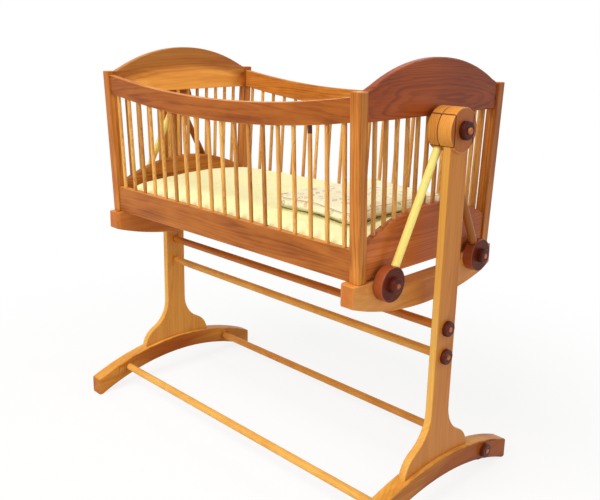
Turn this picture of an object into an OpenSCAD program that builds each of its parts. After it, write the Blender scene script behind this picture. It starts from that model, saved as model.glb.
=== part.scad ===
// Cradle that swings on two bolts in a wooden stand.
// X runs along the cradle, Y across it, Z up. The origin is on the floor, at the middle.

/* [Cradle] */
// Length over the corner posts
cradle_len = 963; // [860:1:1060]
// Width over the corner posts at their lower ends
cradle_w = 511; // [450:1:570]
// Outward lean of the two long sides
side_lean = 2.8; // [1:0.1:4]
// Height of the corner posts
post_h = 412.5; // [380:0.5:450]
// Size of a post along the cradle
post_x = 27.7; // [26:0.1:32]
// Size of a post across the cradle
post_y = 26.7; // [26:0.1:32]
// Thickness of the rails and the end panels
rail_t = 19; // [17:0.1:20]
// Step from the posts' outer faces back to the rails
rail_step = 4.3; // [3.5:0.1:5]
// Length of the tenons on the rails and panels
tenon_len = 8; // [6:0.1:8]
// Thickness of the tenons on the rails and panels
tenon_t = 8; // [6:0.1:8]

/* [Long sides] */
// Height of the curved top rail
side_top_rail_h = 52.5; // [45:0.5:60]
// How far the top rail's lowest place lies under the post tops
side_top_rail_drop = 47.5; // [44:0.5:60]
// How far the top rail dips between its ends and its middle
side_top_rail_dip = 36; // [20:0.5:42]
// Height of the bottom rail
side_bottom_rail_h = 74; // [66:0.5:85]
// Number of spindles in one long side
side_spindles = 18; // [14:1:20]
// Diameter of all spindles
spindle_d = 10.5; // [9:0.1:12]
// Depth to which a spindle goes into a rail
spindle_seat = 12; // [8:0.5:15]

/* [Ends] */
// Radius of the arch of the end panels and end bottom rails
end_arch_r = 486; // [460:1:560]
// Height of the end panel's peak above the post tops
end_panel_rise = 64.5; // [60:0.5:72]
// How far the end panel's lower edge lies under the post tops
end_panel_drop = 63.5; // [60:0.5:75]
// Gap between the end bottom rail and the cross beam
end_rail_lift = 5; // [3:0.5:8]
// Height of the end bottom rail at its middle
end_rail_h = 139; // [130:0.5:150]
// Number of spindles in one end
end_spindles = 12; // [9:1:13]

/* [Cross beams] */
// Width of a cross beam along the cradle
beam_x = 49; // [46:0.5:60]
// How far a cross beam stands out past the posts' lower ends, across the cradle
beam_past = 16.5; // [14:0.5:40]
// How far the beam stands out past the posts' outer faces
beam_proud = 5.5; // [4:0.1:9]
// Depth of the beam at its middle, measured from the posts' lower ends
beam_drop = 94; // [88:0.5:100]
// Radius of the beam's curved underside
beam_r = 870; // [800:1:1200]
// Depth of the hollow in the beam's top
beam_hollow_h = 33; // [24:0.5:36]
// Length of the hollow in the beam's top
beam_hollow_len = 266; // [220:1:280]
// Radius of the beam's upright inner corners
beam_corner_r = 14; // [8:0.5:18]

/* [Hangers] */
// Height of the pivot axis above the floor
pivot_z = 928; // [900:1:980]
// Drop from the pivot axis to the posts' lower ends
hang_drop = 322; // [300:1:340]
// Radius of the hub that hangs on the pivot bolt
hub_r = 50.5; // [47:0.5:56]
// Thickness of the hub
hub_t = 27; // [25:0.5:30]
// Width of the core block of hubs and heads, and of the uprights
core_w = 71.2; // [68:0.2:76]
// Diameter of the slanting hanger dowels
hanger_d = 19; // [16:0.5:20]
// Radius of the discs at the lower ends of the hanger dowels
disc_r = 41; // [38:0.5:46]
// Thickness of the discs
disc_t = 27; // [25:0.5:30]
// Distance of a disc's centre from the cradle's middle
disc_y = 175; // [165:1:185]
// How far a disc's centre lies under the posts' lower ends
disc_drop = 6.5; // [5:0.5:12]
// Depth to which a hanger dowel goes into hub and disc
hanger_seat = 22; // [16:0.5:24]

/* [Stand] */
// Radius of the round heads on the uprights
head_r = 50.5; // [47:0.5:56]
// Thickness of the heads
head_t = 36.4; // [32:0.2:40]
// Running gap between hub and head
pivot_gap = 0.6; // [0.4:0.1:0.9]
// Thickness of the uprights
upright_t = 20.4; // [18:0.2:24]
// Height over the floor at which an upright starts to flare
flare_z = 250; // [235:1:290]
// Radius of the hollow curve of the flare
flare_r = 95; // [85:1:105]
// Radius of the full curve of the flare
flare_toe_r = 70; // [60:1:80]
// Thickness of the feet
foot_t = 41; // [36:0.5:46]
// Length of the feet
foot_len = 635; // [600:1:700]
// Height of the arch under a foot
foot_rise = 66.5; // [55:0.5:75]
// Height of a foot's top at its middle
foot_top = 118; // [112:0.5:125]
// Height of a foot's end face
foot_end_h = 52; // [48:0.5:60]
// Length of the flat place under each end of a foot
foot_pad = 12; // [8:1:20]

/* [Stretchers] */
// Diameter of the four stretcher dowels
stretcher_d = 22; // [19:0.5:25]
// Height of the upper one of the two stretchers between the uprights
stretcher_high_z = 460; // [445:1:475]
// Height of the lower one of the two stretchers between the uprights
stretcher_low_z = 389; // [370:1:405]
// Height of the stretchers between the feet
foot_stretcher_z = 64.5; // [62:0.5:67]
// Distance of a foot stretcher from the stand's middle
foot_stretcher_y = 203; // [190:1:215]
// Depth to which a stretcher goes into an upright
upright_seat = 12; // [8:0.5:14]
// Depth to which a stretcher goes into a foot
foot_seat = 25; // [16:0.5:28]

/* [Buttons and plugs] */
// Radius of the buttons over the stretcher ends
button_r = 19; // [17:0.5:22]
// Thickness of the buttons over the stretcher ends
button_t = 11; // [10:0.5:14]
// Radius of the buttons on the discs
disc_button_r = 18; // [16:0.5:20]
// Thickness of the buttons on the discs
disc_button_t = 13; // [11:0.5:14]
// Radius of the caps over the pivot bolts
cap_r = 21.5; // [20:0.5:24]
// Thickness of the caps over the pivot bolts
cap_t = 14; // [13.5:0.5:17]
// Radius of the rounded rims of buttons and caps
button_round = 3; // [2:0.5:4]
// Radius of the pale plugs
plug_r = 6.4; // [5.5:0.1:7]
// Radius of the larger plugs of the pivot caps
cap_plug_r = 7.6; // [6:0.1:9]
// How far the rounded plugs of the pivot caps stand out
cap_plug_proud = 5; // [3:0.5:7]
// How far a plug stands out
plug_proud = 1.5; // [0.5:0.1:2]

/* [Bolts and screws] */
// Diameter of the pivot bolts
bolt_d = 12; // [10:0.5:14]
// Radius of a pivot bolt's round head
bolt_head_r = 12; // [10:0.5:14]
// Thickness of a pivot bolt's round head
bolt_head_t = 4; // [3:0.1:4.4]
// Size of the pivot nuts across their flats
nut_flats = 18; // [17:0.5:19]
// Thickness of the pivot nuts
nut_t = 6.5; // [5:0.5:7.5]
// Diameter of the wood screws
screw_d = 5; // [4:0.1:6]
// Radius of the wood screws' heads
screw_head_r = 4.6; // [4:0.1:5.2]
// Thickness of the wood screws' heads
screw_head_t = 3; // [2.5:0.1:3.5]
// Length of a wood screw's hold in the last piece it enters
screw_hold = 28; // [20:1:35]

/* [Bed] */
// Width of the cleats under the base board
cleat_w = 16; // [12:0.5:20]
// Height of the cleats
cleat_h = 16; // [12:0.5:20]
// Height of the cleats' undersides above the posts' lower ends
cleat_lift = 3; // [1:0.5:6]
// Thickness of the base board
board_t = 9; // [6:0.5:12]
// Height of the mattress at its middle
mattress_h = 71; // [65:0.5:80]
// How much lower the mattress is at the middle of its short sides
crown_x = 8; // [2:0.5:10]
// How much lower the mattress is at the middle of its long sides
crown_y = 6; // [2:0.5:10]
// How much lower still the mattress is at its corners
crown_corner = 9; // [2:0.5:10]
// Length of the pillow along the cradle
pillow_x = 298; // [250:1:330]
// Width of the pillow across the cradle
pillow_y = 382; // [340:1:386]
// Thickness of the pillow at its middle
pillow_h = 45; // [30:0.5:50]
// Gap between the pillow and the far side's spindles
pillow_side_gap = 23; // [3:0.5:30]
// Distance of the pillow's middle from the cradle's middle, along the cradle
pillow_at = 248; // [200:1:262]

/* [Fits] */
// Clearance around a tenon, a spindle or a dowel in its seat
fit = 0.1; // [0.05:0.01:0.2]
// Radial clearance of the pivot bolts in hubs and heads
running_fit = 0.05; // [0.02:0.01:0.09]
// Gap between soft pieces and what they lie on
soft_gap = 0.3; // [0.2:0.05:0.5]
// Gap between the mattress or base board and the rails round it
bed_gap = 1; // [0.5:0.1:3]

/* [Hidden] */
$fn = 64;
arc_fn = 720;
far = 2000;
// A round corner's arc stands this much out of its faces, so that it cuts them and doesn't only touch them.
corner_step = 0.02;

// Levels and faces that the pieces share.
cradle_z = pivot_z - hang_drop;
posts_top = cradle_z + post_h;
post_out = cradle_len / 2;
post_in = post_out - post_x;
rail_mid = rail_step + rail_t / 2;
end_mid_x = post_out - rail_mid;
end_in_x = post_out - rail_step - rail_t;

// Along the leaning long side, w is measured from the posts' lower ends.
rail_low_w = (post_h - side_top_rail_drop) / cos(side_lean);
rail_r = (post_in * post_in + side_top_rail_dip * side_top_rail_dip) / (2 * side_top_rail_dip);
side_pitch = 2 * post_in / side_spindles;
shoulder = 8;

end_panel_low = posts_top - end_panel_drop;
end_panel_peak = posts_top + end_panel_rise;
end_rail_low = cradle_z + end_rail_lift;
end_rail_peak = end_rail_low + end_rail_h;

beam_out = post_out + beam_proud;
beam_in = beam_out - beam_x;
beam_half = cradle_w / 2 + beam_past;
hanger_x = beam_out + hub_t / 2;
disc_z = cradle_z - disc_drop;
disc_out = beam_out + disc_t;
hanger_run = sqrt(pow(disc_y, 2) + pow(pivot_z - disc_z, 2));
hanger_slant = atan(disc_y / (pivot_z - disc_z));

head_in = beam_out + hub_t + pivot_gap;
head_out = head_in + head_t;
stand_mid = (head_in + head_out) / 2;
upright_in = stand_mid - upright_t / 2;
upright_out = stand_mid + upright_t / 2;
foot_in = stand_mid - foot_t / 2;
foot_out = stand_mid + foot_t / 2;
foot_half = foot_len / 2;
foot_drop = foot_top - foot_end_h;
foot_top_r = (pow(foot_half, 2) + pow(foot_drop, 2)) / (2 * foot_drop);
foot_arch_half = foot_half - foot_pad;
foot_arch_r = (pow(foot_arch_half, 2) + pow(foot_rise, 2)) / (2 * foot_rise);

// The flare: its hollow arc turns by this angle before the full arc takes over.
flare_turn = 65;
flare_c1 = [core_w / 2 + flare_r, flare_z];
flare_c2 = flare_c1 - (flare_r + flare_toe_r) * [cos(flare_turn), sin(flare_turn)];

// Tenons of the uprights, in the feet and in the heads.
upright_tenon_t = upright_t / 2;
upright_tenon_step = 12;
upright_tenon_w = core_w - 2 * upright_tenon_step;
foot_tenon_h = 30;
head_tenon_wood = 12;
head_tenon_root = 8;
head_tenon_z = pivot_z - bolt_d / 2 - head_tenon_wood;

// Bed levels.
cleat_top = cradle_z + cleat_lift + cleat_h;
board_top = cleat_top + board_t;
mattress_low = board_top + soft_gap;
mattress_peak = mattress_low + mattress_h;
mattress_a = end_in_x - bed_gap;
mattress_b = rail_in_y(mattress_low) - bed_gap;
pillow_a = pillow_x / 2;
pillow_b = pillow_y / 2;
spindle_in_y = post_line(mattress_peak) - (rail_mid + spindle_d / 2) / cos(side_lean);
pillow_mid_y = spindle_in_y - pillow_side_gap - pillow_b;

// Where the screws go.
post_screw_in = 11;
post_screw_hold = 38;
post_screw_sink = 36;
post_screw_head_z = cradle_z - post_screw_sink;
cleat_screw_hold = 12;
cleat_screw_z = cradle_z + cleat_lift + cleat_h / 2;
button_floor = 3.5;
cap_skin = 4;
bolt_past_nut = 1.5;
bolt_end = nut_t + bolt_past_nut;

cherry = [0.66, 0.33, 0.15];
cherry_dark = [0.50, 0.22, 0.11];
golden = [0.78, 0.48, 0.20];
birch = [0.90, 0.68, 0.38];
walnut = [0.24, 0.10, 0.06];
maple = [0.93, 0.76, 0.52];
steel = [0.70, 0.70, 0.72];
ply = [0.85, 0.72, 0.52];
cream = [0.97, 0.94, 0.72];

// ---- Lines of the leaning sides, at a height z over the floor ----

// Outer face of the posts.
function post_line(z) = cradle_w / 2 + (z - cradle_z) * tan(side_lean);
// Inner face of the posts.
function post_in_y(z) = post_line(z) - post_y / cos(side_lean);
// Inner face of the long sides' rails.
function rail_in_y(z) = post_line(z) - (rail_step + rail_t) / cos(side_lean);
// Lower edge of a long side's top rail, at x.
function top_rail_low(x) = rail_low_w - side_top_rail_h + rail_r - sqrt(rail_r * rail_r - x * x);
// Top edge of an end bottom rail, at y.
function end_rail_top(y) = end_rail_peak - end_arch_r + sqrt(end_arch_r * end_arch_r - y * y);

// ---- Places ----

// The right-hand end of the cradle and stand, or its mirror image at the left.
module at_end(right) {
    if (right) children();
    else mirror([1, 0, 0]) children();
}

// The front long side, or its mirror image at the back.
module at_side(front) {
    if (front) children();
    else mirror([0, 1, 0]) children();
}

// The front long side's own frame: y goes inwards from the posts' outer faces, z up along them.
module in_side() translate([0, -cradle_w / 2, cradle_z]) rotate([side_lean, 0, 0]) children();

// An outline drawn in Y and Z, made t thick from x on.
module along_x(x, t) translate([x, 0, 0]) rotate([90, 0, 90]) linear_extrude(t) children();

// An outline drawn in X and Z, made t thick from y on.
module along_y(y, t) translate([0, y + t, 0]) rotate([90, 0, 0]) linear_extrude(t) children();

// A round bar or hole along X, from x on.
module bar_x(x, y, z, r, len) translate([x, y, z]) rotate([0, 90, 0]) cylinder(r = r, h = len);

// Both disc places at the right-hand end.
module at_discs() for (s = [-1, 1]) translate([0, s * disc_y, disc_z]) children();

// All four stretcher ends at the right-hand end: two on the upright, two on the foot.
module at_upright_stretchers() for (z = [stretcher_low_z, stretcher_high_z]) translate([0, 0, z]) children();
module at_foot_stretchers() {
    for (s = [-1, 1]) translate([0, s * foot_stretcher_y, foot_stretcher_z]) children();
}

// ---- Outlines ----

// An end piece between the leaning posts, from height z0 to z1 and e longer at each end.
module end_outline(z0, z1, e = 0) {
    polygon([[-post_in_y(z0) - e, z0], [post_in_y(z0) + e, z0],
             [post_in_y(z1) + e, z1], [-post_in_y(z1) - e, z1]]);
}

// Everything under an arch of the ends, with its peak at z.
module under_arch(z) translate([0, z - end_arch_r]) circle(end_arch_r, $fn = arc_fn);

module foot_outline() {
    intersection() {
        translate([-foot_half, 0]) square([foot_len, foot_top]);
        translate([0, foot_top - foot_top_r]) circle(foot_top_r, $fn = arc_fn);
    }
}

// ---- Tenons, which the mortises repeat with g of room around them ----

// Of a long side's rail, from w0 to w1, in the side's own frame.
module side_tenons(w0, w1, g = 0) {
    for (s = [-1, 1]) {
        translate([s * (post_in + (tenon_len + g) / 2 - 0.5), rail_mid, (w0 + w1) / 2])
            cube([tenon_len + g + 1, tenon_t + 2 * g, w1 - w0 + 2 * g], center = true);
    }
}

module side_top_rail_tenons(g = 0) {
    low = top_rail_low(post_in);
    side_tenons(low + shoulder, low + side_top_rail_h - shoulder, g);
}

module side_bottom_rail_tenons(g = 0) side_tenons(shoulder, side_bottom_rail_h - shoulder, g);

// Of an end piece at the right-hand end, from height z0 to z1.
module end_tenons(z0, z1, g = 0) {
    along_x(end_mid_x - tenon_t / 2 - g, tenon_t + 2 * g) difference() {
        end_outline(z0 - g, z1 + g, tenon_len + g);
        end_outline(z0 - 1, z1 + 1, -0.5);
    }
}

module end_panel_tenons(g = 0) end_tenons(end_panel_low + shoulder, end_panel_low + 5 * shoulder, g);
module end_rail_tenons(g = 0) end_tenons(end_rail_low + shoulder, end_rail_low + 8 * shoulder, g);

// ---- Spindles, which their holes repeat with g of room around them ----

module side_spindle_bars(g = 0) {
    for (i = [0 : side_spindles - 1]) {
        x = (i - (side_spindles - 1) / 2) * side_pitch;
        w0 = side_bottom_rail_h - spindle_seat - g;
        w1 = top_rail_low(x) + spindle_seat + g;
        translate([x, rail_mid, w0]) cylinder(d = spindle_d + 2 * g, h = w1 - w0);
    }
}

// The spindles of an end share the room between the leaning posts, so they fan out a little.
module end_spindle_bars(g = 0) {
    span = end_panel_low - cradle_z;
    for (i = [1 : end_spindles]) {
        share = 2 * i / (end_spindles + 1) - 1;
        y_low = share * post_in_y(cradle_z);
        y_top = share * post_in_y(end_panel_low);
        fan = atan((y_top - y_low) / span);
        z0 = end_rail_top((y_low + y_top) / 2) - spindle_seat - g;
        z1 = end_panel_low + spindle_seat + g;
        translate([end_mid_x, y_low, cradle_z]) rotate([-fan, 0, 0])
            translate([0, 0, (z0 - cradle_z) / cos(fan)])
                cylinder(d = spindle_d + 2 * g, h = (z1 - z0) / cos(fan));
    }
}

// ---- Screws, which their holes repeat with g of room around them ----

// A wood screw along -X whose head's underside is at the local origin.
module wood_screw(len, g = 0) {
    bar_x(-len - g, 0, 0, screw_d / 2 + g, len + g + 0.01);
    bar_x(0, 0, 0, screw_head_r + g, screw_head_t + g);
}

module disc_screw_pair(g = 0) {
    translate([disc_out + button_floor, 0, 0]) at_discs() wood_screw(disc_t + button_floor + screw_hold, g);
}

module upright_screw_pair(g = 0) {
    reach = upright_t - upright_seat + button_floor + screw_hold;
    translate([upright_out + button_floor, 0, 0]) at_upright_stretchers() wood_screw(reach, g);
}

module foot_screw_pair(g = 0) {
    reach = foot_t - foot_seat + button_floor + screw_hold;
    translate([foot_out + button_floor, 0, 0]) at_foot_stretchers() wood_screw(reach, g);
}

// The screws that come up through the right-hand beam into its two posts.
module post_screw_pair(g = 0) {
    for (s = [-1, 1]) translate([post_out - post_x / 2, s * (cradle_w / 2 - post_screw_in), 0]) {
        translate([0, 0, post_screw_head_z]) cylinder(d = screw_d + 2 * g,
            h = cradle_z + post_screw_hold + g - post_screw_head_z);
        translate([0, 0, post_screw_head_z - screw_head_t - g])
            cylinder(r = screw_head_r + g, h = screw_head_t + g + 0.01);
    }
}

// The screws of the front cleat, whose heads sit in its inner face.
module cleat_screw_row(g = 0) {
    face = rail_in_y(cleat_screw_z);
    for (s = [-1, 0, 1]) translate([s * post_in * 0.8, -face + cleat_w, cleat_screw_z]) rotate([90, 0, 0]) {
        translate([0, 0, -g]) cylinder(r = screw_head_r + g, h = screw_head_t + g);
        cylinder(d = screw_d + 2 * g, h = cleat_w + cleat_screw_hold + g);
    }
}

// ---- Turned pieces, all facing +X with their seat at the local origin ----

module turned_button(r, t) {
    rotate([0, 90, 0]) rotate_extrude() {
        square([r, t - button_round]);
        square([r - button_round, t]);
        translate([r - button_round, t - button_round]) circle(button_round);
    }
}

// A button with a hole for its screw and a wider one for the plug over the screw's head.
module drilled_button(r, t) {
    difference() {
        turned_button(r, t);
        bar_x(-1, 0, 0, screw_d / 2 + fit, t);
        bar_x(button_floor, 0, 0, plug_r + fit, t);
    }
}

module button_plug(t) bar_x(button_floor + screw_head_t + fit, 0, 0, plug_r,
    t + plug_proud - button_floor - screw_head_t - fit);

// ---- Hanger dowels, which their holes repeat with g of room around them ----

module hanger_pair(g = 0) {
    from = hub_r - hanger_seat - g;
    upto = hanger_run - disc_r + hanger_seat + g;
    for (s = [-1, 1]) translate([hanger_x, 0, pivot_z]) rotate([s * hanger_slant, 0, 0])
        translate([0, 0, -upto]) cylinder(d = hanger_d + 2 * g, h = upto - from);
}

// ---- Heads and hubs: a round block cut into a core and two cheeks ----

module round_core(x, t, r) along_x(x, t) translate([0, pivot_z]) intersection() {
    circle(r, $fn = arc_fn);
    square([core_w, 2 * r + 1], center = true);
}

module round_cheeks(x, t, r) along_x(x, t) translate([0, pivot_z]) difference() {
    circle(r, $fn = arc_fn);
    square([core_w, 2 * r + 1], center = true);
}

module pivot_bore() bar_x(beam_in, 0, pivot_z, bolt_d / 2 + running_fit, 2 * beam_x + head_t);

// ---- The stand's pieces, at the right-hand end ----

module foot() {
    difference() {
        along_x(foot_in, foot_t) difference() {
            foot_outline();
            translate([0, foot_rise - foot_arch_r]) circle(foot_arch_r, $fn = arc_fn);
        }
        upright_foot_tenon(fit);
        at_foot_stretchers() bar_x(foot_in - 1, 0, 0, stretcher_d / 2 + fit, foot_seat + fit + 1);
        foot_screw_pair(fit);
    }
}

module upright_foot_tenon(g = 0) {
    w = upright_tenon_w + 2 * g;
    t = upright_tenon_t + 2 * g;
    translate([stand_mid - t / 2, -w / 2, foot_top - foot_tenon_h - g])
        cube([t, w, foot_tenon_h + g + 2]);
}

module upright_head_tenon(g = 0) {
    w = upright_tenon_w + 2 * g;
    t = upright_tenon_t + 2 * g;
    low = pivot_z - head_r - head_tenon_root;
    translate([stand_mid - t / 2, -w / 2, low]) cube([t, w, head_tenon_z + g - low]);
}

module flare_outline() {
    difference() {
        union() {
            for (s = [-1, 1]) polygon([[0, flare_c2[1]], [0, flare_z], [s * flare_c1[0], flare_z],
                [s * flare_c2[0], flare_c2[1]]]);
        }
        for (s = [-1, 1]) translate([s * flare_c1[0], flare_z]) circle(flare_r, $fn = arc_fn);
    }
    for (s = [-1, 1]) translate([s * flare_c2[0], flare_c2[1]])
        circle(flare_toe_r + corner_step, $fn = arc_fn);
}

module upright() {
    difference() {
        union() {
            along_x(upright_in, upright_t) difference() {
                union() {
                    flare_outline();
                    translate([-core_w / 2, flare_c2[1]]) square([core_w, pivot_z - flare_c2[1]]);
                    translate([-flare_c2[0], flare_c2[1] - flare_toe_r])
                        square([2 * flare_c2[0], flare_toe_r + 1]);
                }
                translate([0, foot_top - foot_top_r]) circle(foot_top_r + fit, $fn = arc_fn);
                translate([0, pivot_z]) circle(head_r + fit, $fn = arc_fn);
                translate([-core_w, pivot_z - sqrt(pow(head_r, 2) - pow(core_w / 2, 2))])
                    square([2 * core_w, head_r]);
            }
            upright_foot_tenon();
            upright_head_tenon();
        }
        at_upright_stretchers() bar_x(upright_in - 1, 0, 0, stretcher_d / 2 + fit, upright_seat + fit + 1);
        upright_screw_pair(fit);
    }
}

module head_core() {
    difference() {
        round_core(head_in, head_t, head_r);
        pivot_bore();
        upright_head_tenon(fit);
    }
}

module pivot_bolt() {
    head_x = beam_out - soft_gap - bolt_head_t;
    bar_x(head_x + bolt_head_t - 1, 0, pivot_z, bolt_d / 2,
        head_out + bolt_end - head_x - bolt_head_t + 1);
    translate([head_x + bolt_head_t, 0, pivot_z]) rotate([0, -90, 0]) rotate_extrude() intersection() {
        square([bolt_head_r, bolt_head_t]);
        translate([0, bolt_head_t - 2 * bolt_head_r]) circle(2 * bolt_head_r, $fn = arc_fn);
    }
}

module pivot_nut() {
    difference() {
        translate([head_out, 0, pivot_z]) rotate([0, 90, 0])
            cylinder(d = nut_flats / cos(30), h = nut_t, $fn = 6);
        pivot_bore();
    }
}

module pivot_cap() {
    translate([head_out, 0, pivot_z]) difference() {
        turned_button(cap_r, cap_t);
        bar_x(-1, 0, 0, nut_flats / 2 / cos(30) + fit, cap_t - cap_skin + 1);
        bar_x(cap_t - cap_skin / 2, 0, 0, cap_plug_r + fit, cap_t);
    }
}

module pivot_cap_plug() translate([head_out + cap_t - cap_skin / 2, 0, pivot_z])
    turned_button(cap_plug_r, cap_skin / 2 + cap_plug_proud);

// A stretcher from end to end, seated in both uprights or both feet.
module stretcher(y, z, seat_x) {
    difference() {
        bar_x(-seat_x, y, z, stretcher_d / 2, 2 * seat_x);
        for (right = [true, false]) at_end(right)
            bar_x(seat_x - screw_hold - fit, y, z, screw_d / 2 + fit, screw_hold + 1);
    }
}

// ---- The cradle's pieces ----

module post() {
    difference() {
        intersection() {
            in_side() translate([post_in, 0, -post_y]) cube([post_x, post_y, post_h + 2 * post_y]);
            translate([0, -far / 2, cradle_z]) cube([far, far, post_h]);
        }
        in_side() side_top_rail_tenons(fit);
        in_side() side_bottom_rail_tenons(fit);
        end_panel_tenons(fit);
        end_rail_tenons(fit);
        post_screw_pair(fit);
    }
}

module side_top_rail() {
    in_side() difference() {
        union() {
            along_y(rail_step, rail_t) difference() {
                intersection() {
                    translate([-post_in, 0]) square([2 * post_in, 2 * post_h]);
                    translate([0, rail_low_w - side_top_rail_h + rail_r]) circle(rail_r, $fn = arc_fn);
                }
                translate([0, rail_low_w + rail_r]) circle(rail_r, $fn = arc_fn);
                translate([-far / 2, rail_low_w + 2 * side_top_rail_dip]) square([far, far]);
            }
            side_top_rail_tenons();
        }
        side_spindle_bars(fit);
    }
}

module side_bottom_rail() {
    difference() {
        in_side() difference() {
            union() {
                along_y(rail_step, rail_t) translate([-post_in, 0]) square([2 * post_in, side_bottom_rail_h]);
                side_bottom_rail_tenons();
            }
            side_spindle_bars(fit);
        }
        cleat_screw_row(fit);
    }
}

module end_panel() {
    difference() {
        union() {
            along_x(end_in_x, rail_t) intersection() {
                end_outline(end_panel_low, end_panel_peak);
                under_arch(end_panel_peak);
            }
            end_panel_tenons();
        }
        end_spindle_bars(fit);
    }
}

module end_bottom_rail() {
    difference() {
        union() {
            along_x(end_in_x, rail_t) intersection() {
                end_outline(end_rail_low, end_rail_peak);
                under_arch(end_rail_peak);
            }
            end_rail_tenons();
        }
        end_spindle_bars(fit);
    }
}

module cross_beam() {
    cove = (beam_hollow_len - 2 * beam_hollow_h) / 2;
    difference() {
        intersection() {
            along_x(beam_in, beam_x) difference() {
                intersection() {
                    translate([-beam_half, cradle_z - beam_drop]) square([2 * beam_half, beam_drop]);
                    translate([0, cradle_z - beam_drop + beam_r]) circle(beam_r, $fn = arc_fn);
                }
                translate([-cove, cradle_z - beam_hollow_h]) square([2 * cove, 2 * beam_hollow_h]);
                for (s = [-1, 1]) translate([s * cove, cradle_z]) circle(beam_hollow_h);
            }
            translate([0, 0, cradle_z - 2 * beam_drop]) linear_extrude(3 * beam_drop) beam_plan();
        }
        disc_screw_pair(fit);
        post_screw_pair(fit);
        for (s = [-1, 1]) translate([post_out - post_x / 2, s * (cradle_w / 2 - post_screw_in),
            cradle_z - beam_drop]) cylinder(r = screw_head_r + fit, h = post_screw_head_z - cradle_z + beam_drop);
    }
}

// The beam from above: the inner corners are round, the outer ones taper off a little.
module beam_plan() {
    taper_len = 8 * beam_proud;
    difference() {
        polygon([[beam_in, -beam_half], [post_out, -beam_half], [beam_out, -beam_half + taper_len],
            [beam_out, beam_half - taper_len], [post_out, beam_half], [beam_in, beam_half]]);
        for (s = [-1, 1]) translate([beam_in, s * (beam_half - beam_corner_r)]) difference() {
            translate([-1, s < 0 ? -beam_corner_r - 1 : 0]) square(beam_corner_r + 1);
            translate([beam_corner_r, 0]) circle(beam_corner_r + corner_step);
        }
    }
}

module hanger_hub() {
    difference() {
        round_core(beam_out, hub_t, hub_r);
        pivot_bore();
        hanger_pair(fit);
    }
}

module hanger_discs() {
    difference() {
        translate([beam_out, 0, 0]) at_discs() bar_x(0, 0, 0, disc_r, disc_t);
        hanger_pair(fit);
        disc_screw_pair(fit);
    }
}

module cleat() {
    low = cradle_z + cleat_lift;
    difference() {
        along_x(-post_in + bed_gap, 2 * (post_in - bed_gap))
            polygon([[-rail_in_y(low), low], [-rail_in_y(low) + cleat_w, low],
                [-rail_in_y(low) + cleat_w, cleat_top], [-rail_in_y(cleat_top), cleat_top]]);
        cleat_screw_row(fit);
    }
}

module board() {
    half_x = post_in - bed_gap;
    half_y = rail_in_y(cleat_top) - bed_gap;
    translate([-half_x, -half_y, cleat_top]) cube([2 * half_x, 2 * half_y, board_t]);
}

// ---- Soft pieces: a stack of rounded rings, each [half length, half width, height rule] ----

// Height of the mattress top at a point.
function mattress_top(p) =
    let (u = pow(p[0] / mattress_a, 2), v = pow(p[1] / mattress_b, 2))
    mattress_peak - crown_x * u - crown_y * v - crown_corner * u * v;

// Corner q of a rectangle 2a by 2b whose corners have radius r.
function corner_mid(a, b, r, q) = [(q == 0 || q == 3 ? 1 : -1) * (a - r), (q < 2 ? 1 : -1) * (b - r)];
function corner_dir(t) = [cos(90 * t), sin(90 * t)];

// The rectangle's outline, with 4 steps round each corner and 8 along each side.
function outline(a, b, r) = [for (q = [0 : 3]) each concat(
    [for (j = [0 : 4]) corner_mid(a, b, r, q) + r * corner_dir(q + j / 4)],
    [for (k = [1 : 7]) (1 - k / 8) * corner_mid(a, b, r, q) + k / 8 * corner_mid(a, b, r, (q + 1) % 4)
        + r * corner_dir(q + 1)])];

// Sides drawn in by d at their middles.
function drawn_in(p, a, b, d) = [p[0] * (1 - d / a * (1 - pow(p[1] / b, 2))),
    p[1] * (1 - d / b * (1 - pow(p[0] / a, 2)))];

// A closed skin over rings of points, with one point at the middle of the bottom and of the top.
module skin(rings, low, high) {
    n = len(rings[0]);
    m = len(rings);
    points = concat([for (ring = rings) each ring], [low, high]);
    polyhedron(points = points, faces = concat(
        [for (k = [0 : m - 2], i = [0 : n - 1]) [k * n + i, (k + 1) * n + i, (k + 1) * n + (i + 1) % n]],
        [for (k = [0 : m - 2], i = [0 : n - 1]) [k * n + i, (k + 1) * n + (i + 1) % n, k * n + (i + 1) % n]],
        [for (i = [0 : n - 1]) [m * n, i, (i + 1) % n]],
        [for (i = [0 : n - 1]) [m * n + 1, (m - 1) * n + (i + 1) % n, (m - 1) * n + i]]));
}

// Each row is how far a ring lies inside the outline, and its share of the way up the side.
MATTRESS_RINGS = [[90, 0], [6, 0], [1.5, 0.08], [0, 0.25], [0, 0.5], [0, 0.75], [2, 0.9], [8, 0.985],
    [30, 1], [80, 1], [140, 1], [200, 1]];
mattress_corner_r = 30;
mattress_corner_least = 5;
mattress_draw = 1.5;

module mattress_skin() {
    rings = [for (row = MATTRESS_RINGS) let (a = mattress_a - row[0], b = mattress_b - row[0])
        [for (q = outline(a, b, max(mattress_corner_r - row[0], mattress_corner_least)))
            let (p = drawn_in(q, a, b, mattress_draw))
            [p[0], p[1], mattress_low + row[1] * (mattress_top(p) - mattress_low)]]];
    skin(rings, [0, 0, mattress_low], [0, 0, mattress_peak]);
}

// Each row is how far a ring lies inside the outline, and its share of the pillow's thickness.
PILLOW_RINGS = [[100, 0], [45, 0], [14, 0.02], [4, 0.09], [0, 0.24], [0, 0.46], [4, 0.6], [14, 0.73],
    [32, 0.85], [60, 0.95], [95, 0.99]];
pillow_corner_r = 34;
pillow_corner_least = 8;
pillow_draw = 9;

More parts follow.
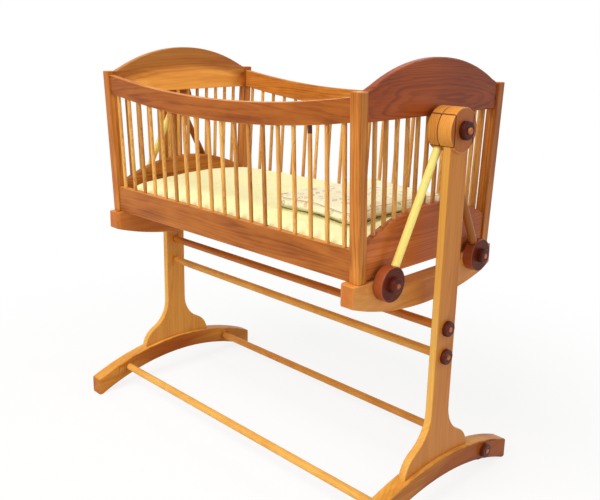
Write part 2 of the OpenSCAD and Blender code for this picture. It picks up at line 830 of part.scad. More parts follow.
module pillow_skin() {
    mid = [pillow_at, pillow_mid_y];
    rings = [for (row = PILLOW_RINGS) let (a = pillow_a - row[0], b = pillow_b - row[0])
        [for (q = outline(a, b, max(pillow_corner_r - row[0], pillow_corner_least)))
            let (p = mid + drawn_in(q, a, b, pillow_draw))
            [p[0], p[1], mattress_top(p) + soft_gap + row[1] * pillow_h]]];
    skin(rings, [mid[0], mid[1], mattress_top(mid) + soft_gap],
        [mid[0], mid[1], mattress_top(mid) + soft_gap + pillow_h]);
}

// ---- Nodes of the stand ----

color(golden) at_end(false) foot();  // foot_left
color(golden) at_end(true) foot();  // foot_right
color(golden) at_end(false) upright();  // upright_left
color(golden) at_end(true) upright();  // upright_right
color(cherry) at_end(false) head_core();  // head_core_left
color(cherry) at_end(true) head_core();  // head_core_right
color(cherry) at_end(false) round_cheeks(head_in, head_t, head_r);  // head_cheeks_left
color(cherry) at_end(true) round_cheeks(head_in, head_t, head_r);  // head_cheeks_right
color(golden) stretcher(0, stretcher_high_z, upright_in + upright_seat);  // upper_stretcher_high
color(golden) stretcher(0, stretcher_low_z, upright_in + upright_seat);  // upper_stretcher_low
color(golden) stretcher(-foot_stretcher_y, foot_stretcher_z, foot_in + foot_seat);  // foot_stretcher_front
color(golden) stretcher(foot_stretcher_y, foot_stretcher_z, foot_in + foot_seat);  // foot_stretcher_back
color(steel) for (right = [true, false]) at_end(right) {  // stretcher_screws
        upright_screw_pair();
        foot_screw_pair();
    }
color(walnut) for (right = [true, false]) at_end(right) translate([upright_out, 0, 0])  // upright_buttons
        at_upright_stretchers() drilled_button(button_r, button_t);
color(walnut) for (right = [true, false]) at_end(right) translate([foot_out, 0, 0])  // foot_buttons
        at_foot_stretchers() drilled_button(button_r, button_t);
color(maple) for (right = [true, false]) at_end(right) translate([upright_out, 0, 0])  // upright_button_plugs
        at_upright_stretchers() button_plug(button_t);
color(maple) for (right = [true, false]) at_end(right) translate([foot_out, 0, 0])  // foot_button_plugs
        at_foot_stretchers() button_plug(button_t);
color(steel) for (right = [true, false]) at_end(right) pivot_bolt();  // pivot_bolts
color(steel) for (right = [true, false]) at_end(right) pivot_nut();  // pivot_nuts
color(walnut) for (right = [true, false]) at_end(right) pivot_cap();  // pivot_caps
color(maple) for (right = [true, false]) at_end(right) pivot_cap_plug();  // pivot_cap_plugs

// ---- Nodes of the cradle ----

color(cherry) at_end(false) at_side(true) post();  // post_front_left
color(cherry) at_end(true) at_side(true) post();  // post_front_right
color(cherry) at_end(false) at_side(false) post();  // post_back_left
color(cherry) at_end(true) at_side(false) post();  // post_back_right
color(cherry) at_side(true) side_top_rail();  // side_top_rail_front
color(cherry) at_side(false) side_top_rail();  // side_top_rail_back
color(cherry) at_side(true) side_bottom_rail();  // side_bottom_rail_front
color(cherry) at_side(false) side_bottom_rail();  // side_bottom_rail_back
color(birch) at_side(true) in_side() side_spindle_bars();  // side_spindles_front
color(birch) at_side(false) in_side() side_spindle_bars();  // side_spindles_back
color(cherry) at_end(false) end_panel();  // end_panel_left
color(cherry_dark) at_end(true) end_panel();  // end_panel_right
color(cherry) at_end(false) end_bottom_rail();  // end_bottom_rail_left
color(cherry_dark) at_end(true) end_bottom_rail();  // end_bottom_rail_right
color(birch) at_end(false) end_spindle_bars();  // end_spindles_left
color(birch) at_end(true) end_spindle_bars();  // end_spindles_right
color(golden) at_end(false) cross_beam();  // cross_beam_left
color(golden) at_end(true) cross_beam();  // cross_beam_right
color(steel) for (right = [true, false]) at_end(right) post_screw_pair();  // post_screws
color(cherry) at_end(false) hanger_hub();  // hanger_hub_left
color(cherry) at_end(true) hanger_hub();  // hanger_hub_right
color(cherry) at_end(false) round_cheeks(beam_out, hub_t, hub_r);  // hub_cheeks_left
color(cherry) at_end(true) round_cheeks(beam_out, hub_t, hub_r);  // hub_cheeks_right
color(birch) at_end(false) hanger_pair();  // hanger_dowels_left
color(birch) at_end(true) hanger_pair();  // hanger_dowels_right
color(walnut) at_end(false) hanger_discs();  // hanger_discs_left
color(walnut) at_end(true) hanger_discs();  // hanger_discs_right
color(steel) for (right = [true, false]) at_end(right) disc_screw_pair();  // disc_screws
color(walnut) for (right = [true, false]) at_end(right) translate([disc_out, 0, 0])  // disc_buttons
        at_discs() drilled_button(disc_button_r, disc_button_t);
color(maple) for (right = [true, false]) at_end(right) translate([disc_out, 0, 0])  // disc_button_plugs
        at_discs() button_plug(disc_button_t);
color(ply) board();  // base_board
color(birch) for (front = [true, false]) at_side(front) cleat();  // base_cleats
color(steel) for (front = [true, false]) at_side(front) cleat_screw_row();  // cleat_screws
color(cream) mattress_skin();  // mattress
color(cream) pillow_skin();  // pillow
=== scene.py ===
import math

import bmesh
import bpy
import numpy as np
from mathutils import Matrix, Vector
from mathutils.bvhtree import BVHTree


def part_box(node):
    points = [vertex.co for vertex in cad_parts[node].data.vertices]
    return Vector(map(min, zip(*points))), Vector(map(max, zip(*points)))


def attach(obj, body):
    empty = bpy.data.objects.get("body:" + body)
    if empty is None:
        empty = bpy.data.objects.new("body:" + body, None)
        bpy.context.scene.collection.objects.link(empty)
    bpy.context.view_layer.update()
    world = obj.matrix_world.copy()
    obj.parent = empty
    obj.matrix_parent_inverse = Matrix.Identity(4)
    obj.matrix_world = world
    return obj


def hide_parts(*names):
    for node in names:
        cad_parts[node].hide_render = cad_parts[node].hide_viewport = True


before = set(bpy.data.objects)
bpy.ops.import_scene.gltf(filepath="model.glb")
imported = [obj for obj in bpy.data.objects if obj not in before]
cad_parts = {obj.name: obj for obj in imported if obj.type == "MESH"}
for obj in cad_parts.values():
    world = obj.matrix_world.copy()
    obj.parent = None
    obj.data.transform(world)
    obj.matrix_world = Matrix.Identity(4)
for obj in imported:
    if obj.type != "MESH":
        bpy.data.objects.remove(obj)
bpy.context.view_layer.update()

# ---- Camera -------------------------------------------------------------------------------------
# The camera stands where the photograph's edges and joints say it stood: in front of the right-hand
# end, a little above the cradle. The picture is 600 x 500, and its middle lies off the lens's axis.
PICTURE = (600, 500)
FOCAL_PX = 768.1
AXIS_PX = (268.45, 230.04)
CAMERA_AT = (1.4845, -1.4724, 1.1376)
azimuth, elevation, roll = (math.radians(a) for a in (46.595, 14.619, 0.606))


def into_scene(name, data):
    """A new object in the scene, at the origin."""
    made = bpy.data.objects.new(name, data)
    bpy.context.scene.collection.objects.link(made)
    return made


forward = Vector((-math.sin(azimuth) * math.cos(elevation),
                  math.cos(azimuth) * math.cos(elevation), -math.sin(elevation)))
level = forward.cross(Vector((0, 0, 1))).normalized()
upward = level.cross(forward)
right = level * math.cos(roll) + upward * math.sin(roll)
upward = upward * math.cos(roll) - level * math.sin(roll)
camera = into_scene("camera", bpy.data.cameras.new("camera"))
camera.data.lens = FOCAL_PX * camera.data.sensor_width / PICTURE[0]
camera.data.shift_x = (PICTURE[0] / 2 - AXIS_PX[0]) / PICTURE[0]
camera.data.shift_y = (AXIS_PX[1] - PICTURE[1] / 2) / PICTURE[0]
camera.data.clip_end = 50
turn = Matrix((right, upward, -forward)).transposed()
camera.matrix_world = Matrix.Translation(CAMERA_AT) @ turn.to_4x4()
bpy.context.scene.camera = camera
bpy.context.scene.view_settings.view_transform = "Standard"

# ---- Studio -------------------------------------------------------------------------------------
# A plain pale floor under a white surround. One large soft lamp hangs high in front of the cradle.
# Weak ones above, at the right-hand end and behind it lighten what the large one leaves in shade.
LAMP_TINT = (1.0, 0.98, 0.94)
LAMP_AIM = Vector((0, 0, 0.6))
FLOOR_HALF = 14
# Between these two distances the floor that the camera sees goes from mostly white to plain white.
WHITENING = (0.7, 1.8, 0.84, 1.0)


def put(tree, kind, inputs=None, **settings):
    """Adds a node to a tree; an input is a value or the socket that feeds it."""
    made = tree.nodes.new(kind)
    for name, value in settings.items():
        setattr(made, name, value)
    for socket, value in (inputs or {}).items():
        if isinstance(value, bpy.types.NodeSocket):
            tree.links.new(value, made.inputs[socket])
        else:
            made.inputs[socket].default_value = value
    return made


def calc(tree, operation, *values):
    """The result of a sum on numbers and sockets."""
    return put(tree, "ShaderNodeMath", dict(enumerate(values)), operation=operation).outputs[0]


def calc_3d(tree, operation, *vectors):
    """The same on vectors; the length of one is a plain number."""
    made = put(tree, "ShaderNodeVectorMath", dict(enumerate(vectors)), operation=operation)
    return made.outputs["Value" if operation == "LENGTH" else "Vector"]


def ranged(tree, value, start, end, low=0.0, high=1.0, way="LINEAR"):
    """A value that runs from start to end, made to run from low to high."""
    return put(tree, "ShaderNodeMapRange", {0: value, 1: start, 2: end, 3: low, 4: high},
               interpolation_type=way).outputs[0]


def blank_material(name):
    """A new material and its empty node tree."""
    made = bpy.data.materials.new(name)
    made.use_nodes = True
    made.node_tree.nodes.clear()
    return made, made.node_tree


world = bpy.data.worlds.new("white surround")
world.use_nodes = True
tree = world.node_tree
tree.nodes.clear()
ray = put(tree, "ShaderNodeLightPath").outputs
seen = calc(tree, "MAXIMUM", ray["Is Camera Ray"], ray["Is Transmission Ray"])
seen = calc(tree, "MAXIMUM", seen, ray["Is Glossy Ray"])
glow = put(tree, "ShaderNodeBackground", {"Color": (1.0, 0.98, 0.95, 1.0), "Strength": 0.38})
white = put(tree, "ShaderNodeBackground", {"Color": (1.0, 1.0, 1.0, 1.0), "Strength": 1.0})
both = put(tree, "ShaderNodeMixShader", {0: seen, 1: glow.outputs[0], 2: white.outputs[0]})
put(tree, "ShaderNodeOutputWorld", {0: both.outputs[0]})
bpy.context.scene.world = world

for name, place, size, watts in (("lamp in front", (0.1, -3.0, 3.9), 3.0, 198),
                                 ("lamp above", (0.2, -0.2, 4.0), 1.6, 14),
                                 ("lamp right end", (3.6, -0.6, 1.6), 2.2, 6),
                                 ("lamp behind", (2.6, 3.3, 2.5), 0.9, 36)):
    light = bpy.data.lights.new(name, "AREA")
    light.shape, light.size, light.energy, light.color = "SQUARE", size, watts, LAMP_TINT
    lamp = into_scene(name, light)
    lamp.location = place
    lamp.rotation_euler = (LAMP_AIM - Vector(place)).to_track_quat("-Z", "Y").to_euler()

plate = bmesh.new()
bmesh.ops.create_grid(plate, x_segments=1, y_segments=1, size=FLOOR_HALF)
floor = into_scene("floor", bpy.data.meshes.new("floor"))
plate.to_mesh(floor.data)
plate.free()
paint, tree = blank_material("pale floor")
ray = put(tree, "ShaderNodeLightPath").outputs
paper = put(tree, "ShaderNodeBsdfDiffuse", {"Color": (0.86, 0.86, 0.85, 1.0)})
bright = put(tree, "ShaderNodeEmission", {"Color": (1.0, 1.0, 1.0, 1.0), "Strength": 1.0})
seen = calc(tree, "MAXIMUM", ray["Is Camera Ray"], ray["Is Glossy Ray"])
away = calc_3d(tree, "LENGTH", put(tree, "ShaderNodeTexCoord").outputs["Object"])
share = calc(tree, "MULTIPLY", seen, ranged(tree, away, *WHITENING, way="SMOOTHSTEP"))
both = put(tree, "ShaderNodeMixShader", {0: share, 1: paper.outputs[0], 2: bright.outputs[0]})
put(tree, "ShaderNodeOutputMaterial", {0: both.outputs[0]})
floor.data.materials.append(paint)

# ---- Feet ---------------------------------------------------------------------------------------
# Two feet sawn from thick golden-brown planks, arched above and below, their edges rounded over and
# the whole varnished to a satin shine. The grain runs along each foot, with red heartwood in it.
X, Y, Z = range(3)
WELD = 1e-5                   # corners this near are one
FLAT = 0.004                  # faces that meet at a smaller angle are one
CORNER = math.radians(35)     # an edge that turns by more is an edge of the piece
TONE_STEP = 0.03              # how finely a face is split where its tone changes along it
FOOT_RISE = 0.066             # from a foot's tips to its crown
foot_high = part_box("foot_left")[1]


def colour(red, green, blue):
    """A colour as it looks on a screen, 0 to 255, as the linear one that a shader wants."""
    return tuple(c / 255 / 12.92 if c <= 10 else ((c / 255 + 0.055) / 1.055) ** 2.4
                 for c in (red, green, blue)) + (1.0,)


def noise(tree, at, scale, detail, rough=0.5, twist=0.0):
    """Cloudy noise, as a number, Fac, and as a Color."""
    return put(tree, "ShaderNodeTexNoise", {"Vector": at, "Scale": scale, "Detail": detail,
                                            "Roughness": rough, "Distortion": twist}).outputs


def mixed(tree, share, first, second, way="MIX"):
    """Two colours in one, by the share of the second."""
    return put(tree, "ShaderNodeMix", {0: share, 6: first, 7: second}, data_type="RGBA",
               blend_type=way).outputs[2]


def surface(tree, hue, rough, height, bump, depth, **shader):
    """Ends a material's tree: its colour, its roughness, a bump with its strength and its depth in
    metres, and the shader's other sockets, such as Coat_Weight."""
    relief = put(tree, "ShaderNodeBump", {"Strength": bump, "Distance": depth, "Height": height})
    others = {name.replace("_", " "): value for name, value in shader.items()}
    skin = put(tree, "ShaderNodeBsdfPrincipled", {"Base Color": hue, "Roughness": rough,
                                                  "Normal": relief.outputs[0], **others})
    put(tree, "ShaderNodeOutputMaterial", {0: skin.outputs[0]})


def wood_finish(name, light, middle, dark, ring=0.005, figure=0.5, fibre=0.5, drift=0.6,
                gloss=0.36, deep=(0.52, 0.40, 0.32), coat=0.06, shine=0.17, patches=(2.4, 22, 22)):
    """Varnished timber in three colours: growth rings of a width in metres, cut by the board, fine
    fibres, and a slow drift in so many patches to the metre. The attribute "board" says where the
    board lay in its log, and the attribute "tone" how far the colour deep is laid over it."""
    made, tree = blank_material(name)
    board = put(tree, "ShaderNodeAttribute", attribute_name="board").outputs["Vector"]
    tone = put(tree, "ShaderNodeAttribute", attribute_name="tone").outputs["Fac"]
    # The rings wander by up to 15 mm, ten times more slowly along the board than across it.
    slow = calc_3d(tree, "MULTIPLY", board, (0.10, 1, 1))
    wander = noise(tree, slow, scale=17, detail=3)["Color"]
    wander = calc_3d(tree, "SUBTRACT", wander, (0.5, 0.5, 0.5))
    bent = calc_3d(tree, "ADD", slow, calc_3d(tree, "MULTIPLY", wander, (0.03, 0.03, 0.03)))
    across = calc_3d(tree, "MULTIPLY", bent, (0, 1, 1))
    # Each ring darkens slowly and then falls back to pale, in some years more than in others.
    turns = calc(tree, "MULTIPLY", calc_3d(tree, "LENGTH", across), 1 / ring)
    late_wood = put(tree, "ShaderNodeFloatCurve", {"Value": calc(tree, "FRACT", turns)})
    line = late_wood.mapping.curves[0]
    line.points[0].location, line.points[1].location = (0.0, 0.30), (1.0, 0.30)
    line.points.new(0.45, 0.36)
    line.points.new(0.82, 0.90)
    late_wood.mapping.update()
    luck = put(tree, "ShaderNodeTexWhiteNoise", {"W": calc(tree, "FLOOR", turns)},
               noise_dimensions="1D").outputs["Value"]
    rings = calc(tree, "MULTIPLY", calc(tree, "SUBTRACT", late_wood.outputs[0], 0.45),
                 ranged(tree, luck, 0, 1, 0.35, 1.0))
    # Fibres are 60 times as long as they are wide. Clouds are the slow drift.
    fibres = calc_3d(tree, "MULTIPLY", board, (7, 420, 420))
    fibres = noise(tree, fibres, scale=1, detail=4, rough=0.6)["Fac"]
    clouds = calc_3d(tree, "MULTIPLY", board, patches)
    clouds = noise(tree, clouds, scale=1, detail=3, rough=0.55)["Fac"]
    part = calc(tree, "MULTIPLY_ADD", rings, figure, 0.5 - fibre / 2 - drift / 2)
    part = calc(tree, "MULTIPLY_ADD", fibres, fibre, part)
    part = calc(tree, "MULTIPLY_ADD", clouds, drift, part)
    ramp = put(tree, "ShaderNodeValToRGB", {0: part})
    stops = ramp.color_ramp.elements
    stops[0].position, stops[0].color = 0.20, colour(*light)
    stops[1].position, stops[1].color = 0.85, colour(*dark)
    stops.new(0.5).color = colour(*middle)
    stained = mixed(tree, 1.0, ramp.outputs[0], deep + (1,), "MULTIPLY")
    surface(tree, mixed(tree, tone, ramp.outputs[0], stained),
            ranged(tree, fibres, 0.3, 0.7, gloss - 0.06, gloss + 0.08), part, bump=0.16,
            depth=0.0004, Coat_Weight=coat, Coat_Roughness=0.2, Specular_IOR_Level=shine)
    return made


def places(mesh):
    """The places of a mesh's vertices, one to a row."""
    co = np.empty(len(mesh.vertices) * 3)
    mesh.vertices.foreach_get("co", co)
    return co.reshape(-1, 3)


def islands(mesh):
    """For each vertex, the number of its loose part, counted along +X, then +Y, then +Z."""
    ends = np.empty(len(mesh.edges) * 2, np.int64)
    mesh.edges.foreach_get("vertices", ends)
    a, b = ends.reshape(-1, 2).T
    label = np.arange(len(mesh.vertices))
    while True:
        low = np.minimum(label[a], label[b])
        before = label.copy()
        np.minimum.at(label, a, low)
        np.minimum.at(label, b, low)
        label = label[label]
        if (label == before).all():
            break
    co = places(mesh)
    roots = np.unique(label)
    middles = np.array([co[label == r].mean(0) for r in roots]).round(4)
    order = np.lexsort((middles[:, Z], middles[:, Y], middles[:, X]))
    number = np.empty(len(mesh.vertices), np.int64)
    for i, r in enumerate(roots[order]):
        number[label == r] = i
    return number, len(roots)


def long_way(co):
    """The direction in which a set of points is longest."""
    way = np.linalg.svd(co - co.mean(0), full_matrices=False)[2][0]
    return way if way[np.abs(way).argmax()] > 0 else -way


def lay_grain(piece, seed, tones=0.0, along=None, flat=None, heart=(0.0, 0.06), turned=0.2,
              bow=0.03, lively=1.0):
    """Gives each board of a piece its own place in the log: the grain runs along its length or the
    given way, the broad face looks along flat, and the log's heart lies aside and deep by heart.
    The log bends by bow, and lively shortens its figure. tones, from 0 to 1, dark, is one for all,
    a range for dice, or one for each board."""
    dice = np.random.default_rng(seed)
    co = places(piece.data)
    number, count = islands(piece.data)
    board = np.empty((len(co), 3), np.float32)
    tone = np.empty(len(co), np.float32)
    for i in range(count):
        mine = number == i
        u = np.array(along, float) if along is not None else long_way(co[mine])
        w = flat if flat is not None else (1, 0, 0) if abs(u[X]) < 0.5 else (0, 1, 0)
        v = np.cross(np.array(w, float), u)
        v /= np.linalg.norm(v)
        w = np.cross(u, v)
        # The dice say how the board was turned, how far along the log and how far from its heart.
        a = dice.uniform(-turned, turned)
        v, w = v * math.cos(a) + w * math.sin(a), w * math.cos(a) - v * math.sin(a)
        d = co[mine] - co[mine].mean(0)
        u, v, w = d @ u, d @ v, d @ w
        start = dice.uniform(0, 9)
        aside, deep = heart[0] + dice.uniform(-0.01, 0.01), heart[1] * dice.uniform(0.9, 1.3)
        board[mine] = np.stack([u * lively + start, v + aside, w + deep + bow * u * u], 1)
        if isinstance(tones, tuple):
            tone[mine] = dice.uniform(*tones)
        else:
            tone[mine] = tones[i] if isinstance(tones, list) else tones
    grain = piece.data.attributes.new("board", "FLOAT_VECTOR", "POINT")
    grain.data.foreach_set("vector", board.ravel())
    piece.data.attributes.new("tone", "FLOAT", "POINT").data.foreach_set("value", tone)


def welded(node):
    """A CAD node's triangles, joined at their corners."""
    bm = bmesh.new()
    bm.from_mesh(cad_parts[node].data)
    bmesh.ops.remove_doubles(bm, verts=bm.verts, dist=WELD)
    return bm


def smoothed(mesh, corner=None):
    """Shades a mesh smoothly, but for edges that turn by more than the angle of a corner."""
    mesh.polygons.foreach_set("use_smooth", [True] * len(mesh.polygons))
    if corner:
        mesh.set_sharp_from_angle(angle=corner)


def plain_mesh(thing, name):
    """What an object's modifiers make of it, as a mesh of its own."""
    seen_by = bpy.context.evaluated_depsgraph_get()
    mesh = bpy.data.meshes.new_from_object(thing.evaluated_get(seen_by),
                                           preserve_all_data_layers=True, depsgraph=seen_by)
    mesh.name = name
    return mesh


def eased(node, name, edge, share=None, opening=0.03, cuts=(), levels=()):
    """A piece with a CAD node's shape and rounded edges. share(midpoint) gives the part of the
    rounding that an edge gets, 0 at a joint. The rims of openings under the given size stay sharp.
    The faces are split at each Y of cuts and each Z of levels, so that a tone can change there."""
    bm = welded(node)
    bmesh.ops.dissolve_limit(bm, angle_limit=FLAT, verts=bm.verts, edges=bm.edges)
    for spot, way in ([((0, y, 0), (0, 1, 0)) for y in cuts]
                      + [((0, 0, z), (0, 0, 1)) for z in levels]):
        bmesh.ops.bisect_plane(bm, geom=bm.verts[:] + bm.edges[:] + bm.faces[:], dist=WELD,
                               plane_co=spot, plane_no=way)
    bm.normal_update()
    weight = bm.edges.layers.float.new("bevel_weight_edge")
    waiting = {e for e in bm.edges if len(e.link_faces) == 2 and e.calc_face_angle(0) > CORNER}
    while waiting:
        rim, reach = [], [waiting.pop()]
        while reach:
            e = reach.pop()
            rim.append(e)
            for v in e.verts:
                for other in v.link_edges:
                    if other in waiting:
                        waiting.discard(other)
                        reach.append(other)
        co = np.array([v.co for e in rim for v in e.verts])
        if (co.max(0) - co.min(0)).max() > opening:
            for e in rim:
                e[weight] = share((e.verts[0].co + e.verts[1].co) / 2) if share else 1.0
    blank = into_scene(name + "_blank", bpy.data.meshes.new(name))
    bm.to_mesh(blank.data)
    bm.free()
    smoothed(blank.data, CORNER)
    rounding = blank.modifiers.new("eased edges", "BEVEL")
    rounding.width, rounding.segments, rounding.limit_method = edge, 3, "WEIGHT"
    rounding.use_clamp_overlap, rounding.harden_normals = False, True
    rounding.miter_outer = "MITER_ARC"
    mesh = plain_mesh(blank, name)
    bpy.data.objects.remove(blank)
    mesh.materials.clear()
    return into_scene(name, mesh)


def joined(piece, body, node):
    """The piece moves with its body and stands for a CAD node, which is hidden."""
    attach(piece, body)
    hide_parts(node)


def fitted(piece, material, body, node):
    """The same for a piece that has no finish yet."""
    piece.data.materials.append(material)
    joined(piece, body, node)


def darken(piece, amount, where):
    """Raises the tone of the vertices as far as where(place) says, from 0 to 1."""
    tone = piece.data.attributes["tone"].data
    for v in piece.data.vertices:
        tone[v.index].value += amount * where(v.co)


def stain_and_shade(piece, amount, way=X, where=lambda p: 1.0):
    """Raises the tone of the faces that look along an axis, as far as where(place) says. On end
    grain this is the heavier staining that end grain takes up. On broad faces it is painted shade,
    which leaves the faces that look other ways looking lit. A vertex goes with the largest face
    that it touches."""
    tone = piece.data.attributes["tone"].data
    largest = {}
    for face in piece.data.polygons:
        for v in face.vertices:
            if face.area > largest.get(v, (0, 0))[0]:
                largest[v] = (face.area, abs(face.normal[way]))
    for v, (_, share) in largest.items():
        tone[v].value += amount * share ** 2 * where(piece.data.vertices[v].co)


def clamped(share):
    """A share, held between 0 and 1."""
    return min(1, max(0, share))


def foot_crown(y):
    """Height of a foot's arched top, from its peak and its end faces."""
    half = foot_high.y
    radius = (half ** 2 + FOOT_RISE ** 2) / (2 * FOOT_RISE)
    return foot_high.z - radius + math.sqrt(radius ** 2 - y ** 2)


def red_heart_left(p):
    """The red heartwood of the left foot lies across its middle."""
    return max(0, 1 - ((p.y + 0.03) / 0.2) ** 2)


def red_heart_right(p):
    """That of the right foot starts at its middle, 20 mm under the crown, and fills the far end."""
    along = clamped(0.7 + p.y / 0.16)
    return along * (1.0 if p.z < foot_crown(p.y) - 0.02 else clamped(p.y / 0.25))


foot_wood = wood_finish("timber of the feet", (240, 184, 88), (222, 154, 66), (176, 106, 44),
                        ring=0.007, figure=0.2, fibre=0.3, drift=1.2, deep=(0.44, 0.22, 0.10),
                        coat=0.02, shine=0.09)
for side, seed, plain, red, red_heart in (("left", 11, 0.4, 0.6, red_heart_left),
                                          ("right", 12, 0.55, 0.85, red_heart_right)):
    foot = eased("foot_" + side, f"foot_{side}_plank", edge=0.0035,
                 cuts=[TONE_STEP * i for i in range(-9, 10)])
    lay_grain(foot, seed, heart=(0.03, 0.05))
    # Painted shade darkens the broad faces; the red heartwood lies on them as well.
    stain_and_shade(foot, plain)
    stain_and_shade(foot, red, X, red_heart)
    # The end grain takes more staining, and the tops grow darker towards the far end.
    stain_and_shade(foot, 0.7, Y)
    stain_and_shade(foot, 0.3, Z, lambda p: clamped(p.y / 0.2))
    fitted(foot, foot_wood, "stand", "foot_" + side)

# ---- Uprights -----------------------------------------------------------------------------------
# Flat planks that flare out where they stand on the feet. Their lower ends are scribed to the feet
# and their tops run up into the round heads, so the edges at those two joints stay sharp.
SCRIBED = 0.0012      # an edge this near to those joints is part of them
pivot = (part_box("pivot_bolts")[0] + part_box("pivot_bolts")[1]) / 2
head_r = (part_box("head_cheeks_left")[1].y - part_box("head_cheeks_left")[0].y) / 2


def off_upright_joints(p):
    """1 for an edge that lies clear of the foot's crown and of the head."""
    above = p.z > foot_crown(p.y) + SCRIBED
    return float(above and math.hypot(p.y, p.z - pivot.z) > head_r + SCRIBED)


golden = wood_finish("golden timber", (238, 188, 98), (226, 168, 78), (196, 130, 52), ring=0.006,
                     figure=0.22, fibre=0.35, deep=(0.72, 0.43, 0.24))
for side, seed, amount in (("left", 21, 0.45), ("right", 22, 0.8)):
    upright = eased("upright_" + side, f"upright_{side}_plank", edge=0.003,
                    share=off_upright_joints)
    lay_grain(upright, seed, heart=(0.05, 0.07))
    # Painted shade: the broad faces are darkened, so the edges look lit.
    stain_and_shade(upright, amount)
    fitted(upright, golden, "stand", "upright_" + side)

# ---- Heads --------------------------------------------------------------------------------------
# Each upright ends in a thick round head: a core block with a cheek glued to each side, turned and
# sanded flush. A dark glue line shows where the blocks meet, and the rims are well rounded.
ON_FACE = 0.0005      # a vertex this near to a face lies on it
ON_SEAM = 0.0003      # an edge this near to a seam runs along it
GLUE_HALF = 0.0013    # half the width of the glue line
round_wood = wood_finish("timber of the round blocks", (240, 184, 88), (226, 158, 70),
                         (184, 110, 50), ring=0.004, figure=0.34, fibre=0.4,
                         deep=(0.56, 0.34, 0.26))
glue_line = wood_finish("dark glue line", (126, 62, 34), (104, 46, 26), (78, 34, 22), gloss=0.55)
core_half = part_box("head_core_left")[1].y
block_ends = [abs(corner.x) for node in ("head_core_left", "hanger_hub_left")
              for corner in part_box(node)]


def by_glue_line(p):
    """The rims along a glued seam get less than half of the rounding."""
    return 0.45 if abs(abs(p.y) - core_half) < ON_SEAM else 1.0


def round_block(node, seed, body):
    """A core or a pair of cheeks, with its grain upright, its flat end faces darker and redder,
    partly as painted shade, and its glued edges marked."""
    block = eased(node, node + "_block", edge=0.003, share=by_glue_line, opening=0.045)
    lay_grain(block, seed, (0.2, 0.4), along=(0, 0, 1), turned=1.2)
    # The flat end faces are darkened: a redder tone, partly painted shade.
    darken(block, 0.75, lambda p: min(abs(abs(p.x) - x) for x in block_ends) < ON_FACE)
    block.data.materials.append(round_wood)
    block.data.materials.append(glue_line)
    # The line is drawn on the rims beside a seam, and not on the faces that are glued.
    for face in block.data.polygons:
        beside = abs(face.center.y) - core_half
        face.material_index = int(-GLUE_HALF < beside < GLUE_HALF and abs(face.normal.y) < 0.98)
    joined(block, body, node)


for side, seed in (("left", 31), ("right", 34)):
    round_block("head_core_" + side, seed, "stand")
    round_block("head_cheeks_" + side, seed + 1, "stand")

# ---- Dowels -------------------------------------------------------------------------------------
# Four long stretchers, sixty spindles and four slanting hangers are all cut from round dowel. A
# node tree draws each along the axis that its CAD solid has, with the ends in their blind holes.
AT_END = 1e-4         # a vertex this near to a dowel's end is part of its end face


def dowel_tree():
    """The node tree that sweeps a round of a diameter and a number of sides along each axis."""
    tree = bpy.data.node_groups.new("dowels on their axes", "GeometryNodeTree")
    for name, kind in (("Axes", "Geometry"), ("Diameter", "Float"), ("Sides", "Int"),
                       ("Lengths", "Int"), ("Timber", "Material")):
        tree.interface.new_socket(name=name, in_out="INPUT", socket_type="NodeSocket" + kind)
    tree.interface.new_socket(name="Dowels", in_out="OUTPUT", socket_type="NodeSocketGeometry")
    given = put(tree, "NodeGroupInput").outputs
    line = put(tree, "GeometryNodeMeshToCurve", {0: given["Axes"]})
    line = put(tree, "GeometryNodeResampleCurve",
               {"Curve": line.outputs[0], "Count": given["Lengths"]}, mode="COUNT")
    round_edge = put(tree, "GeometryNodeCurvePrimitiveCircle",
                     {"Resolution": given["Sides"],
                      "Radius": calc(tree, "MULTIPLY", given["Diameter"], 0.5)}, mode="RADIUS")
    rod = put(tree, "GeometryNodeCurveToMesh",
              {"Curve": line.outputs[0], "Profile Curve": round_edge.outputs[0],
               "Fill Caps": True})
    real = put(tree, "GeometryNodeRealizeInstances", {0: rod.outputs[0]})
    dressed = put(tree, "GeometryNodeSetMaterial",
                  {"Geometry": real.outputs[0], "Material": given["Timber"]})
    put(tree, "NodeGroupOutput", {0: dressed.outputs[0]})
    return tree


def axes_of(node):
    """The ends of each dowel in a CAD node that holds nothing but dowels, and their diameter."""
    bm = welded(node)
    loose = bpy.data.meshes.new("loose")
    bm.to_mesh(loose)
    bm.free()
    co = places(loose)
    number, count = islands(loose)
    bpy.data.meshes.remove(loose)
    ends, wide = [], []
    for i in range(count):
        mine = co[number == i]
        way = long_way(mine)
        along = mine @ way
        for end in (mine[along < along.min() + AT_END], mine[along > along.max() - AT_END]):
            ends.append(tuple((end.min(0) + end.max(0)) / 2))
        away = mine - ends[-2]
        away = away - np.outer(away @ way, way)
        wide.append(2 * np.linalg.norm(away, axis=1).max())
    return ends, float(np.median(wide))


dowels = dowel_tree()


def dowel_piece(name, timber, node, lengths, sides=20):
    """The dowels of a CAD node as one piece, made by the node tree and then plain mesh."""
    ends, diameter = axes_of(node)
    axes = bpy.data.meshes.new(name)
    axes.from_pydata(ends, [(i, i + 1) for i in range(0, len(ends), 2)], [])
    rods = into_scene(name, axes)
    maker = rods.modifiers.new("dowels", "NODES")
    maker.node_group = dowels
    sizes = {"Diameter": diameter, "Sides": sides, "Lengths": lengths, "Timber": timber}
    for socket in dowels.interface.items_tree:
        if socket.in_out == "INPUT" and socket.name in sizes:
            maker[socket.identifier] = sizes[socket.name]
    mesh = plain_mesh(rods, name)
    rods.modifiers.remove(maker)
    rods.data = mesh
    smoothed(mesh, math.radians(40))
    return rods


for node, seed, tone in (("upper_stretcher_high", 41, 1.0), ("upper_stretcher_low", 42, 0.3),
                         ("foot_stretcher_front", 43, 0.0), ("foot_stretcher_back", 44, 0.6)):
    rod = dowel_piece(node + "_dowel", golden, node, lengths=12, sides=28)
    lay_grain(rod, seed, tone, heart=(0.0, 0.03), lively=6.0)
    joined(rod, "stand", node)

